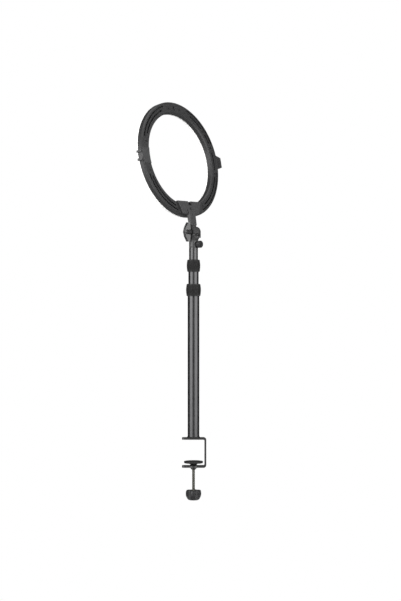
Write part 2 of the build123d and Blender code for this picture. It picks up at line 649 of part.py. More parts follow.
def notch():
    """Cutter for the notch at the hole's flat bottom edge."""
    return slab((-NOTCH_HALF, NOTCH_HALF), (-CHORD - NOTCH_DEEP, 1 - CHORD), (NOTCH_FLOOR, 40))


def accessory_axis():
    """Location at the accessory thread's mouth, with +Z down into the block."""
    return Pos(0, -CHORD, -SHELL_DEPTH / 2 + 0.4) * Rot(90, 0, 0)


def accessory_insert():
    """Threaded brass insert for a phone holder, mouth at the hole's flat edge."""
    return accessory_axis() * sleeve(SOCKET_INSERT_RADIUS, SOCKET_INSERT_BORE, 0, SOCKET_INSERT_DEPTH)


def diffuser():
    """White front of the ring, with posts that take the shell screws."""
    outer = RING_RADIUS - DIFFUSER_INSET
    inner = HOLE_RADIUS + DIFFUSER_INSET
    chord = CHORD + DIFFUSER_INSET
    body = plate(band(outer, inner, chord), DIFFUSER_FRONT, -SHELL_DEPTH)
    body = fillet(body.edges().group_by(Axis.Z)[0], 1.5)
    step = SHELL_WALL + NEST_GAP
    lip = band(RING_RADIUS - step, HOLE_RADIUS + step, CHORD + step)
    body += plate(lip, -SHELL_DEPTH - SMALL, -SHELL_DEPTH + DIFFUSER_LIP)
    room = step + DIFFUSER_WALL
    hollow = band(RING_RADIUS - room, HOLE_RADIUS + room, CHORD + room)
    body -= plate(hollow, DIFFUSER_FRONT + DIFFUSER_WALL, 1)
    half = SOCKET_INSERT_RADIUS + ACCESSORY_WALL + NEST_GAP
    body -= slab((-half, half), (-CHORD - SOCKET_INSERT_DEPTH - 2 * NEST_GAP, 0), (-SHELL_DEPTH, 1))
    floor = SHELL_CROWN - SHELL_WALL
    for x, y in screw_points():
        body += Pos(x, y, 0) * disc(POST_RADIUS, DIFFUSER_FRONT + DIFFUSER_WALL - 0.5, floor - NEST_GAP)
        body -= Pos(x, y, 0) * disc(SMALL_SCREW_RADIUS + PRESS, -8, floor + 1)
    return body


def led_board():
    """Ring-shaped light board."""
    outer = RING_RADIUS - SHELL_WALL - BOARD_MARGIN - 0.3
    inner = HOLE_RADIUS + SHELL_WALL + BOARD_MARGIN + 0.3
    body = sleeve(outer, inner, BOARD_BACK - BOARD_THICKNESS, BOARD_BACK)
    for x, y in screw_points():
        body -= Pos(x, y, 0) * disc(POST_RADIUS + 0.3, -10, 2)
    x, y = BRACKET_SCREW
    return body - Pos(x, y, 0) * disc(SMALL_SCREW_RADIUS + 0.8, -10, 2)


def led_chips():
    """Warm and cool emitters in two rings on the board."""
    front = BOARD_BACK - BOARD_THICKNESS
    inset = SHELL_WALL + BOARD_MARGIN + 4
    chips = []
    for pair in range(CHIP_PAIRS):
        angle = 360 / CHIP_PAIRS * (pair + 0.5)
        for radius in (HOLE_RADIUS + inset, RING_RADIUS - inset):
            x, y = polar(radius, angle)
            if min(math.dist((x, y), point) for point in screw_points()) < CHIP_CLEAR:
                continue
            chips.append(Pos(x, y, front - CHIP[2] / 2) * Rot(0, 0, -angle) * Box(*CHIP))
    return RING * Compound(children=chips)


def small_screw(x, y, head_top, tip):
    """Pan-head screw pointing to the front."""
    head = disc(SMALL_HEAD_RADIUS, head_top - SMALL_HEAD, head_top)
    recess = plate(Rectangle(2.6, 0.7) + Rectangle(0.7, 2.6), head_top - 0.8, head_top + 1)
    return Pos(x, y, 0) * (head + disc(SMALL_SCREW_RADIUS, tip, head_top - SMALL_HEAD) - recess)


def shell_screws():
    """Screws through the rear shell into the diffuser's posts."""
    screws = [small_screw(x, y, SHELL_CROWN, -7.5) for x, y in screw_points()]
    return RING * Compound(children=screws)


def bracket_screws():
    """Screws that hold the neck on the rear shell."""
    floor = SHELL_CROWN - SHELL_WALL
    screws = [small_screw(*BRACKET_SCREW, PAD_BACK - 0.4, floor - 0.3)]
    for x, y in INSIDE_SCREWS:
        inside_out = Pos(0, 0, floor - SMALL_HEAD) * Rot(180, 0, 0)
        screws.append(inside_out * small_screw(x, -y, 0, SMALL_HEAD_RADIUS - PAD_BACK))
    return RING * Compound(children=screws)


def neck_bracket():
    """Pad on the rear shell, neck and tilt knuckle in one moulding."""
    axis_y = -RING_CENTRE
    reach = axis_y + CHEEK_RADIUS + 1
    flat = RING_RADIUS - SHELL_CHAMFER
    pad_face = make_face(Polyline((-PAD_TOP_HALF, -CHORD), (PAD_TOP_HALF, -CHORD),
                                  (PAD_LOW_HALF, -RING_RADIUS), (-PAD_LOW_HALF, -RING_RADIUS), close=True))
    body = plate(pad_face & Circle(flat), SHELL_CROWN, PAD_BACK)
    body = chamfer(body.faces().sort_by(Axis.Z)[-1].edges(), 1.0)
    foot = 0.15 - SHELL_CHAMFER
    wedge = make_face(Polyline((-CHORD, SHELL_CROWN + 0.1), (foot - CHORD, SHELL_CROWN + 0.1),
                               (foot - CHORD, SHELL_CROWN), (-CHORD, SHELL_CROWN + foot), close=True))
    body += extrude(Plane.YZ * wedge, PAD_LOW_HALF, both=True)
    neck_face = make_face(Polyline((-NECK_TOP_HALF - 2, -CHORD - 20), (NECK_TOP_HALF + 2, -CHORD - 20),
                                   (NECK_TOP_HALF, -RING_RADIUS - 1), (NECK_LOW_HALF, reach + 2),
                                   (KNUCKLE_HALF, reach), (-KNUCKLE_HALF, reach),
                                   (-NECK_LOW_HALF, reach + 2), (-NECK_TOP_HALF, -RING_RADIUS - 1),
                                   close=True))
    neck = plate(neck_face, SHELL_CROWN, NECK_BACK)
    body += chamfer(neck.faces().sort_by(Axis.Z)[-1].edges(), 1.0)
    tongue = slab((-KNUCKLE_HALF, KNUCKLE_HALF), (axis_y, reach + 0.5), (SHELL_CROWN, NECK_BACK))
    knuckle = ALONG_X * disc(KNUCKLE_RADIUS, -KNUCKLE_HALF, KNUCKLE_HALF)
    body += tongue + Pos(0, axis_y, RIM_OFFSET) * knuckle
    rib = slab((-NECK_RIB_HALF, NECK_RIB_HALF), (reach, -CHORD - 21), (NECK_BACK - 1, NECK_BACK + NECK_RIB))
    body += chamfer(rib.edges().filter_by(Axis.Y).sort_by(Axis.Z)[-2:], 0.6)
    core_low = axis_y - CORE_DROP - CORE_SLOT / 2
    body -= slab((-20, 20), (core_low, core_low + CORE_SLOT), (RIM_OFFSET + CORE_FLOOR, 40))
    body -= Pos(0, axis_y, RIM_OFFSET) * ALONG_X * disc(TILT_BOLT_RADIUS + PIN_FIT, -20, 20)
    body -= notch()
    x, y = BRACKET_SCREW
    body -= Pos(x, y, 0) * disc(SMALL_HEAD_RADIUS + 0.2, PAD_BACK - 0.4 - SMALL_HEAD, 40)
    body -= Pos(x, y, 0) * disc(SMALL_SCREW_RADIUS + PRESS, 0, 40)
    for x, y in INSIDE_SCREWS:
        body -= Pos(x, y, 0) * disc(SMALL_SCREW_RADIUS + PRESS, 0, PAD_BACK - 1.2)
    return body


def cold_shoe():
    """Saddle over the band with an accessory shoe on the ring's rim."""
    saddle = plate(band(RING_RADIUS - SHELL_CHAMFER, HOLE_RADIUS + SHELL_CHAMFER, CHORD),
                   SHELL_CROWN, SHELL_CROWN + SHOE_RAISE)
    half = (RING_RADIUS + HOLE_RADIUS) / 2 * math.radians(SHOE_HALF_ANGLE)
    saddle &= slab((-2 * RING_RADIUS, 0), (-half, half), (-50, 50))
    rim = -RING_RADIUS - NEST_GAP
    wide = SHOE_SLOT / 2 + SHOE_WALL
    depth = (-SHELL_DEPTH + 0.5, SHELL_CROWN + SHOE_RAISE)
    base = slab((rim - SHOE_BASE, rim + 3), (-wide, wide), depth)
    base -= disc(RING_RADIUS + NEST_GAP, -50, 50)
    bridge = slab((rim - SHOE_BASE, -RING_RADIUS + SHELL_CHAMFER + 2), (-wide, wide),
                  (SHELL_CROWN, SHELL_CROWN + SHOE_RAISE))
    height = SHOE_SLOT_HEIGHT + SHOE_LIP
    rails = slab((rim - SHOE_BASE - height, rim - SHOE_BASE + 0.5), (-wide, wide), depth)
    floor = rim - SHOE_BASE
    rails -= slab((floor - SHOE_SLOT_HEIGHT, floor), (-SHOE_SLOT / 2, SHOE_SLOT / 2), (-50, 50))
    rails -= slab((rim - 40, floor), (-SHOE_THROAT / 2, SHOE_THROAT / 2), (-50, 50))
    return saddle + base + bridge + rails


def pod_cover():
    """Front cover of the control pod."""
    face = pod_outline(0) - Circle(RING_RADIUS + NEST_GAP)
    return plate(face, -SHELL_DEPTH - POD_COVER, -SHELL_DEPTH)


def control_board():
    """Small board under the push buttons."""
    x = RING_RADIUS + BUTTON_OFFSET
    low = board_top() - 1.2
    half = BUTTON_PITCH + 3.2
    return slab((x - 2.9, x + 2.9), (POD_RISE - half, POD_RISE + half), (low, low + 1.2))


def board_top():
    """Rear face of the control board."""
    return -SHELL_DEPTH + 1.6


def tact_switches():
    """One switch under each button."""
    switches = []
    for x, y in button_points():
        base = Pos(x, y, board_top()) * Box(4.2, 4.2, 1.5, align=UPRIGHT)
        stem = Pos(x, y, 0) * disc(1.0, board_top() + 1.5, board_top() + 2.1)
        switches.append(base + stem)
    return RING * Compound(children=switches)


def button(x, y):
    """Push button with a flange inside the pod."""
    seat = POD_RAISE - POD_WALL - 0.2
    foot = board_top() + 2.1 + BUTTON_TRAVEL + 0.3
    cap = disc(BUTTON_RADIUS, seat - 1, POD_RAISE + BUTTON_PROUD)
    cap = fillet(cap.edges().group_by(Axis.Z)[-1], 0.5)
    flange = disc(BUTTON_RADIUS + 0.8, foot, seat)
    return Pos(x, y, 0) * (cap + flange)


def power_inlet():
    """Round power socket in the pod's outer edge, with its centre pin."""
    body = sleeve(INLET_RADIUS, INLET_BORE, -INLET_LENGTH, 0)
    body += disc(INLET_RADIUS, -INLET_LENGTH, -INLET_LENGTH + 1.2)
    body += disc(INLET_PIN, -INLET_LENGTH, -1)
    return inlet_axis() * body


def pole_nodes():
    """Clamp, pole and collars."""
    nodes = {
        "clamp_bracket": clamp_bracket(), "clamp_nut": clamp_nut(), "clamp_pad": clamp_pad(),
        "pad_facing": pad_facing(), "clamp_screw": clamp_screw(), "clamp_knob": clamp_knob(),
        "clamp_knob_insert": knob_insert(), "pole_foot_ring": foot_ring(), "base_plug": base_plug(),
        "base_bolt": base_bolt(),
        "lower_tube": pole_tube(LOWER_RADIUS, POLE_FOOT, LOWER_TUBE_TOP),
        "middle_tube": pole_tube(MIDDLE_RADIUS, MIDDLE_FOOT + BUSH_RING, MIDDLE_TUBE_TOP),
        "upper_tube": pole_tube(UPPER_RADIUS, UPPER_FOOT + BUSH_RING, UPPER_TUBE_TOP),
        "middle_slide_bush": slide_bush(MIDDLE_RADIUS, LOWER_RADIUS, MIDDLE_FOOT),
        "upper_slide_bush": slide_bush(UPPER_RADIUS, MIDDLE_RADIUS, UPPER_FOOT),
        "head_spigot": spigot(),
    }
    collars = {
        "lower": (LOWER_RADIUS, MIDDLE_RADIUS, LOWER_COLLAR_BOTTOM, LOWER_RADIUS + LOWER_COLLAR_OUT),
        "upper": (MIDDLE_RADIUS, UPPER_RADIUS, UPPER_COLLAR_BOTTOM, MIDDLE_RADIUS + UPPER_COLLAR_OUT),
    }
    for name, (tube, inner, bottom, belly) in collars.items():
        nodes[f"{name}_lock_sleeve"] = lock_sleeve(tube, bottom)
        nodes[f"{name}_collet"] = lock_collet(tube, inner, bottom)
        nodes[f"{name}_collar_nut"] = collar_nut(tube, inner, bottom)
        nodes[f"{name}_collar_grip"] = collar_grip(tube, belly, bottom)
    return nodes


def head_nodes():
    """Yoke, knobs and ring."""
    nodes = {
        "head_socket": PAN * head_socket(),
        "friction_washers": PAN * friction_washers(),
        "tilt_bolt": PAN * tilt_bolt(),
        "knob_washer": PAN * knob_washer(),
        "wing_knob": PAN * wing_knob(),
        "wing_knob_insert": PAN * wing_insert(),
        "thumb_screw_knob": PAN * thumb_knob(),
        "thumb_screw_stud": PAN * thumb_stud(),
        "neck_bracket": RING * neck_bracket(),
        "rear_shell": RING * rear_shell(),
        "diffuser": RING * diffuser(),
        "led_board": RING * led_board(),
        "led_chips": led_chips(),
        "shell_screws": shell_screws(),
        "bracket_screws": bracket_screws(),
        "cold_shoe": RING * cold_shoe(),
        "accessory_insert": RING * accessory_insert(),
        "pod_cover": RING * pod_cover(),
        "control_board": RING * control_board(),
        "tact_switches": tact_switches(),
        "power_inlet": RING * power_inlet(),
    }
    for name, (x, y) in zip(("button_brighter", "button_mode", "button_dimmer"), button_points()):
        nodes[name] = RING * button(x, y)
    return nodes


os.makedirs("parts", exist_ok=True)
for node, shape in {**pole_nodes(), **head_nodes()}.items():
    export_step(shape, f"parts/{node}.step")
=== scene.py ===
"""Finishes, extra pieces and a studio for a ring light on a clamp pole."""
import json
import math

import bmesh
import bpy
from bpy.props import FloatProperty, FloatVectorProperty, IntProperty, PointerProperty
from bpy.types import Operator, Panel, PropertyGroup
from mathutils import Matrix, Vector


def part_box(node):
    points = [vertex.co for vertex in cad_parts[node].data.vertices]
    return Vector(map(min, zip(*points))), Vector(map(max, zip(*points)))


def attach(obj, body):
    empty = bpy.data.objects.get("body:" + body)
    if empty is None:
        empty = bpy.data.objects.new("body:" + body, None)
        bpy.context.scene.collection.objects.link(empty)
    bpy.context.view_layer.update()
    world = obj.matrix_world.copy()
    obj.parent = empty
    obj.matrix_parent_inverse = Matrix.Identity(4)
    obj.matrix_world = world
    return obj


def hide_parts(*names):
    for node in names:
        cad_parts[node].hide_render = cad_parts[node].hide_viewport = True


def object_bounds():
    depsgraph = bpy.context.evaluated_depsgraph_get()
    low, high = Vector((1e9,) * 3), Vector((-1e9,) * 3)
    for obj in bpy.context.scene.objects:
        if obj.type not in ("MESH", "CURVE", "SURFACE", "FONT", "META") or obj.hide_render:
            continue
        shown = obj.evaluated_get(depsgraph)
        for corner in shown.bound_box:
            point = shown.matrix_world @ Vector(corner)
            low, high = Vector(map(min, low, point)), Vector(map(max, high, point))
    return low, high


bl_info = {
    "name": "Ring light on a clamp pole",
    "version": (1, 0, 0),
    "blender": (4, 5, 0),
    "location": "3D View > Sidebar > Ring light",
    "description": "Builds the finishes, knurled grips, screw thread and studio of a clamp-pole ring light",
    "category": "Object",
}

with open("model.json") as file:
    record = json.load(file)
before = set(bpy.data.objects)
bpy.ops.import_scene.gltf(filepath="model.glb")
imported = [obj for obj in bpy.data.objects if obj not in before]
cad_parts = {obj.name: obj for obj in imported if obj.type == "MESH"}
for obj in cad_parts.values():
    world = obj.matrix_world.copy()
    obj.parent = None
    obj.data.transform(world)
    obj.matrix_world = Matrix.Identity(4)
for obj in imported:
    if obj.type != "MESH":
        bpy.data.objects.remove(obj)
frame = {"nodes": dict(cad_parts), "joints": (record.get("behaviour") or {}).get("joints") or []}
CAD_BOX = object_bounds()
FULL_TURN = 2 * math.pi
MM = 0.001
WING_HALF = 3.0 * MM        # half the thickness of the wing knob's blades
INSERT_WALL = 2.35 * MM     # steel bush in the clamp knob, around the screw
GRIP_EDGE = 0.9 * MM        # bevel at the two ends of a grip
GRIP_FIT = 0.02 * MM        # between a grip and the nut under it
THREAD_STEPS = 20           # faces round one turn of the thread
SOFTBOX_AWAY = 2.4          # pole to each softbox, metres
SOFTBOX_HEIGHT = 0.9        # middle of a softbox above the desk top

# Each finish and the CAD nodes that carry it.
FINISHED_NODES = {
    "moulded shell": ["rear_shell", "pod_cover"],
    "moulded neck": ["neck_bracket", "cold_shoe", "head_socket"],
    "white diffuser": ["diffuser"],
    "anodised tube": ["lower_tube", "middle_tube", "upper_tube"],
    "powder coat": ["clamp_bracket", "clamp_nut"],
    "black rubber": ["clamp_pad", "pad_facing", "pole_foot_ring"],
    # The wing knob's finish carries painted light: its flat sides are paler.
    "wing knob with painted light": ["wing_knob"],
    "moulded knob": ["clamp_knob", "thumb_screw_knob", "lower_collar_nut", "upper_collar_nut",
                     "button_brighter", "button_mode", "button_dimmer"],
    "bare steel": ["clamp_knob_insert"],
    "blackened steel": ["base_bolt", "head_spigot", "tilt_bolt", "knob_washer", "thumb_screw_stud",
                        "shell_screws", "bracket_screws"],
    "turned brass": ["wing_knob_insert", "accessory_insert"],
    "grey acetal": ["base_plug", "middle_slide_bush", "upper_slide_bush", "lower_lock_sleeve",
                    "upper_lock_sleeve", "lower_collet", "upper_collet", "friction_washers",
                    "tact_switches", "power_inlet"],
    "circuit board": ["led_board", "control_board"],
    "phosphor": ["led_chips"],
}


# ---- Settings ----

def colour(name, description, default):
    """A colour setting."""
    return FloatVectorProperty(name=name, description=description, default=default, min=0, max=1,
                               size=3, subtype="COLOR")


def length(name, description, default):
    """A length setting, in metres."""
    return FloatProperty(name=name, description=description, default=default, min=0, unit="LENGTH",
                         precision=5)


class RingLightColours(PropertyGroup):
    """Colours of the finishes."""

    shell: colour("Shell", "Rear shell of the ring", (0.013, 0.013, 0.0135))
    neck: colour("Neck", "Neck, head socket and accessory shoe", (0.030, 0.030, 0.0305))
    diffuser: colour("Diffuser", "Front of the ring", (0.86, 0.86, 0.85))
    tube: colour("Tubes", "Anodised pole sections", (0.055, 0.055, 0.056))
    coat: colour("Clamp", "Powder coat of the clamp", (0.016, 0.016, 0.016))
    knob: colour("Knobs", "Knobs, collars and buttons", (0.012, 0.012, 0.0125))
    # Painted light: the paler tone given to the flat sides of the wing knob stands in for the light that
    # falls on them.
    wing: colour("Wing knob painted light", "Flat sides of the knob that locks the tilt", (0.115, 0.115, 0.115))
    # Partly painted shade: the boards' real colour is a guess, and black is chosen so the slots of the shell
    # look shaded.
    board: colour("Circuit boards", "Solder mask, black as painted shade behind the slots", (0.008, 0.009, 0.008))
    rubber: colour("Rubber", "Grips and facings", (0.008, 0.008, 0.008))
    steel: colour("Steel", "Bare clamp screw", (0.165, 0.165, 0.145))


class RingLightGrips(PropertyGroup):
    """Knurl of the collar grips and thread of the clamp screw."""

    columns: IntProperty(name="Columns", description="Knurl blocks round a grip", default=44, min=12, max=120)
    rows: IntProperty(name="Rows", description="Knurl blocks along a grip", default=9, min=3, max=30)
    depth: length("Knurl depth", "Height of a knurl block", 0.45 * MM)
    groove: length("Groove", "Half the gap between two blocks", 0.28 * MM)
    crown: length("Crown", "Belly of a grip above its ends", 1.4 * MM)
    pitch: length("Thread pitch", "Advance of the clamp screw in one turn", 1.27 * MM)
    thread: length("Thread depth", "Height of the clamp screw's thread", 0.55 * MM)


class RingLightStudio(PropertyGroup):
    """Camera, floor and lights."""

    distance: length("Camera distance", "From the pole to the camera", 3.218)
    height: length("Camera height", "Camera above the desk top", 0.2977)
    side: length("Camera offset", "Camera beside the pole", 0.0150)
    lens: FloatProperty(name="Lens", description="Focal length in millimetres", default=89.9, min=10, max=400)
    softboxes: FloatProperty(name="Softboxes", description="Power of each softbox beside the camera",
                             default=110.0, min=0, unit="POWER")
    top: FloatProperty(name="Top light", description="Power of the overhead light", default=20.0, min=0,
                       unit="POWER")
    ambient: FloatProperty(name="Ambient", description="Strength of the room's light", default=0.10, min=0)


class RingLightSettings(PropertyGroup):
    """Everything that can be set."""

    colours: PointerProperty(type=RingLightColours)
    grips: PointerProperty(type=RingLightGrips)
    studio: PointerProperty(type=RingLightStudio)


# ---- Node helpers ----

def add(tree, kind, values=None, **settings):
    """New shader node with some of its settings and input values."""
    node = tree.nodes.new(kind)
    for key, value in settings.items():
        setattr(node, key, value)
    for key, value in (values or {}).items():
        node.inputs[key].default_value = value
    return node


def link(tree, source, target):
    """Join an output socket to an input socket."""
    tree.links.new(source, target)


def new_group(name, inputs, outputs):
    """Empty node group with float sockets, and its two end nodes."""
    tree = bpy.data.node_groups.new(name, "ShaderNodeTree")
    for socket, kind, default in inputs:
        made = tree.interface.new_socket(socket, in_out="INPUT", socket_type=kind)
        made.default_value = default
    for socket, kind in outputs:
        tree.interface.new_socket(socket, in_out="OUTPUT", socket_type=kind)
    start = tree.nodes.new("NodeGroupInput")
    end = tree.nodes.new("NodeGroupOutput")
    return tree, start, end


def grain_group():
    """Fine moulded or sprayed texture over slow blotches of shade."""
    tree, start, end = new_group(
        "Surface grain",
        [("Colour", "NodeSocketColor", (0.5, 0.5, 0.5, 1)), ("Grain scale", "NodeSocketFloat", 2000.0),
         ("Blotch scale", "NodeSocketFloat", 60.0), ("Blotch", "NodeSocketFloat", 0.2),
         ("Roughness", "NodeSocketFloat", 0.5)],
        [("Colour", "NodeSocketColor"), ("Roughness", "NodeSocketFloat"), ("Height", "NodeSocketFloat")])
    place = add(tree, "ShaderNodeTexCoord")
    grain = add(tree, "ShaderNodeTexNoise", {"Detail": 3.0, "Roughness": 0.6})
    blotch = add(tree, "ShaderNodeTexNoise", {"Detail": 4.0, "Roughness": 0.55})
    link(tree, place.outputs["Object"], grain.inputs["Vector"])
    link(tree, place.outputs["Object"], blotch.inputs["Vector"])
    link(tree, start.outputs["Grain scale"], grain.inputs["Scale"])
    link(tree, start.outputs["Blotch scale"], blotch.inputs["Scale"])
    centred = add(tree, "ShaderNodeMath", {1: 0.5}, operation="SUBTRACT")
    link(tree, blotch.outputs["Fac"], centred.inputs[0])
    swing = add(tree, "ShaderNodeMath", operation="MULTIPLY")
    link(tree, centred.outputs[0], swing.inputs[0])
    link(tree, start.outputs["Blotch"], swing.inputs[1])
    shade = add(tree, "ShaderNodeMath", {0: 1.0}, operation="ADD")
    link(tree, swing.outputs[0], shade.inputs[1])
    tinted = add(tree, "ShaderNodeVectorMath", operation="SCALE")
    link(tree, start.outputs["Colour"], tinted.inputs[0])
    link(tree, shade.outputs[0], tinted.inputs["Scale"])
    rough = add(tree, "ShaderNodeMath", operation="MULTIPLY", use_clamp=True)
    link(tree, start.outputs["Roughness"], rough.inputs[0])
    link(tree, shade.outputs[0], rough.inputs[1])
    link(tree, tinted.outputs[0], end.inputs["Colour"])
    link(tree, rough.outputs[0], end.inputs["Roughness"])
    link(tree, grain.outputs["Fac"], end.inputs["Height"])
    return tree


def brushed_group():
    """Fine scratches drawn out along one axis."""
    tree, start, end = new_group(
        "Drawn lines",
        [("Stretch", "NodeSocketVector", (1.0, 1.0, 0.05)), ("Scale", "NodeSocketFloat", 900.0),
         ("Roughness", "NodeSocketFloat", 0.3), ("Spread", "NodeSocketFloat", 0.2)],
        [("Roughness", "NodeSocketFloat"), ("Height", "NodeSocketFloat")])
    place = add(tree, "ShaderNodeTexCoord")
    drawn = add(tree, "ShaderNodeVectorMath", operation="MULTIPLY")
    link(tree, place.outputs["Object"], drawn.inputs[0])
    link(tree, start.outputs["Stretch"], drawn.inputs[1])
    lines = add(tree, "ShaderNodeTexNoise", {"Detail": 4.0, "Roughness": 0.65})
    link(tree, drawn.outputs[0], lines.inputs["Vector"])
    link(tree, start.outputs["Scale"], lines.inputs["Scale"])
    low = add(tree, "ShaderNodeMath", {1: 0.5}, operation="SUBTRACT")
    link(tree, lines.outputs["Fac"], low.inputs[0])
    swing = add(tree, "ShaderNodeMath", operation="MULTIPLY")
    link(tree, low.outputs[0], swing.inputs[0])
    link(tree, start.outputs["Spread"], swing.inputs[1])
    rough = add(tree, "ShaderNodeMath", operation="ADD", use_clamp=True)
    link(tree, start.outputs["Roughness"], rough.inputs[0])
    link(tree, swing.outputs[0], rough.inputs[1])
    link(tree, rough.outputs[0], end.inputs["Roughness"])
    link(tree, lines.outputs["Fac"], end.inputs["Height"])
    return tree


def dust_group():
    """Faint dust on faces that look up."""
    tree, start, end = new_group(
        "Settled dust",
        [("Colour", "NodeSocketColor", (0.5, 0.5, 0.5, 1)),
         ("Dust", "NodeSocketColor", (0.35, 0.34, 0.32, 1)), ("Amount", "NodeSocketFloat", 0.05)],
        [("Colour", "NodeSocketColor")])
    place = add(tree, "ShaderNodeTexCoord")
    speckle = add(tree, "ShaderNodeTexNoise", {"Scale": 400.0, "Detail": 5.0})
    link(tree, place.outputs["Object"], speckle.inputs["Vector"])
    facing = add(tree, "ShaderNodeNewGeometry")
    split = add(tree, "ShaderNodeSeparateXYZ")
    link(tree, facing.outputs["Normal"], split.inputs[0])
    up = add(tree, "ShaderNodeMapRange", {"From Min": 0.2, "From Max": 1.0})
    link(tree, split.outputs["Z"], up.inputs["Value"])
    settled = add(tree, "ShaderNodeMath", operation="MULTIPLY")
    link(tree, up.outputs["Result"], settled.inputs[0])
    link(tree, speckle.outputs["Fac"], settled.inputs[1])
    amount = add(tree, "ShaderNodeMath", operation="MULTIPLY", use_clamp=True)
    link(tree, settled.outputs[0], amount.inputs[0])
    link(tree, start.outputs["Amount"], amount.inputs[1])
    mixed = add(tree, "ShaderNodeMix", data_type="RGBA")
    link(tree, amount.outputs[0], mixed.inputs["Factor"])
    link(tree, start.outputs["Colour"], mixed.inputs["A"])
    link(tree, start.outputs["Dust"], mixed.inputs["B"])
    link(tree, mixed.outputs["Result"], end.inputs["Colour"])
    return tree


def use_group(tree, name, values):
    """Place a shared group in a material with its own values."""
    node = tree.nodes.new("ShaderNodeGroup")
    node.node_tree = bpy.data.node_groups[name]
    for key, value in values.items():
        node.inputs[key].default_value = value
    return node


def new_material(name):
    """Material with a bare Principled shader."""
    material = bpy.data.materials.new(name)
    material.use_nodes = True
    tree = material.node_tree
    return material, tree, tree.nodes["Principled BSDF"]


def add_bump(tree, shader, height, strength, distance):
    """Bump from a height socket."""
    bump = add(tree, "ShaderNodeBump", {"Strength": strength, "Distance": distance})
    link(tree, height, bump.inputs["Height"])
    link(tree, bump.outputs["Normal"], shader.inputs["Normal"])


def grained(name, tone, roughness, scale, bump, blotch=0.25, dust=0.04, specular=0.5):
    """Moulded, sprayed or rubber finish."""
    material, tree, shader = new_material(name)
    grain = use_group(tree, "Surface grain", {"Colour": (*tone, 1), "Grain scale": scale, "Blotch": blotch,
                                              "Roughness": roughness})
    settled = use_group(tree, "Settled dust", {"Amount": dust})
    link(tree, grain.outputs["Colour"], settled.inputs["Colour"])
    link(tree, settled.outputs["Colour"], shader.inputs["Base Color"])
    link(tree, grain.outputs["Roughness"], shader.inputs["Roughness"])
    add_bump(tree, shader, grain.outputs["Height"], bump, 0.1 * MM)
    shader.inputs["Specular IOR Level"].default_value = specular
    return material


def drawn_metal(name, tone, roughness, stretch, scale, bump, metallic=1.0, spread=0.18):
    """Metal with drawn or turned lines."""
    material, tree, shader = new_material(name)
    lines = use_group(tree, "Drawn lines", {"Stretch": stretch, "Scale": scale, "Roughness": roughness,
                                            "Spread": spread})
    grain = use_group(tree, "Surface grain", {"Colour": (*tone, 1), "Grain scale": 1500.0, "Blotch": 0.2})
    link(tree, grain.outputs["Colour"], shader.inputs["Base Color"])
    link(tree, lines.outputs["Roughness"], shader.inputs["Roughness"])
    add_bump(tree, shader, lines.outputs["Height"], bump, 0.05 * MM)
    shader.inputs["Metallic"].default_value = metallic
    return material


def wing_with_painted_light(name, lit_face_tone, body):
    """Black moulding with painted light: the flat sides of its wings are paler, standing in for the light
    that falls on them.
    """
    material = grained(name, body, 0.36, 1500, 0.3)
    tree = material.node_tree
    shader = tree.nodes["Principled BSDF"]
    settled = shader.inputs["Base Color"].links[0].from_socket
    # Painted light: the paler tone on the flat sides of the blades stands in for the light that falls on
    # them; the edges stay black.
    pale = use_group(tree, "Surface grain", {"Colour": (*lit_face_tone, 1), "Grain scale": 1500.0, "Roughness": 0.4})
    place = add(tree, "ShaderNodeTexCoord")
    across = add(tree, "ShaderNodeVectorMath", {1: wing_across()}, operation="DOT_PRODUCT")
    link(tree, place.outputs["Object"], across.inputs[0])
    off = add(tree, "ShaderNodeMath", operation="ABSOLUTE")
    link(tree, across.outputs["Value"], off.inputs[0])
    flat = add(tree, "ShaderNodeMath", {1: WING_HALF, 2: 0.12 * MM}, operation="COMPARE")
    link(tree, off.outputs[0], flat.inputs[0])
    mixed = add(tree, "ShaderNodeMix", data_type="RGBA")
    link(tree, flat.outputs[0], mixed.inputs["Factor"])
    link(tree, settled, mixed.inputs["A"])
    link(tree, pale.outputs["Colour"], mixed.inputs["B"])
    link(tree, mixed.outputs["Result"], shader.inputs["Base Color"])
    return material


def wing_across():
    """Level direction square to the wing knob's axis, which crosses the pole's axis."""
    turn = next(joint for joint in frame["joints"] if joint["name"] == "wing_knob_turn")
    return Vector(turn["axis"]).cross(Vector((0, 0, 1))).normalized()


# ---- Geometry helpers ----

def object_from(bm, name):
    """Object at the origin from a finished bmesh."""
    bmesh.ops.remove_doubles(bm, verts=bm.verts, dist=1e-6)
    bmesh.ops.recalc_face_normals(bm, faces=bm.faces)
    mesh = bpy.data.meshes.new(name)
    bm.to_mesh(mesh)
    bm.free()
    piece = bpy.data.objects.new(name, mesh)
    bpy.context.scene.collection.objects.link(piece)
    return piece


def outline(bm, points):
    """Chain of edges through points, returned with its vertices."""
    verts = [bm.verts.new(point) for point in points]
    edges = [bm.edges.new(pair) for pair in zip(verts, verts[1:])]
    return verts + edges


def radius_of(node):
    """Largest radius of a node that is turned about the pole."""
    low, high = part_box(node)
    return (high.x - low.x) / 2


def shade_by_angle(piece, degrees):
    """Smooth shading that keeps edges sharper than an angle."""
    piece.data.shade_smooth()
    piece.data.set_sharp_from_angle(angle=math.radians(degrees))


# ---- Pieces ----

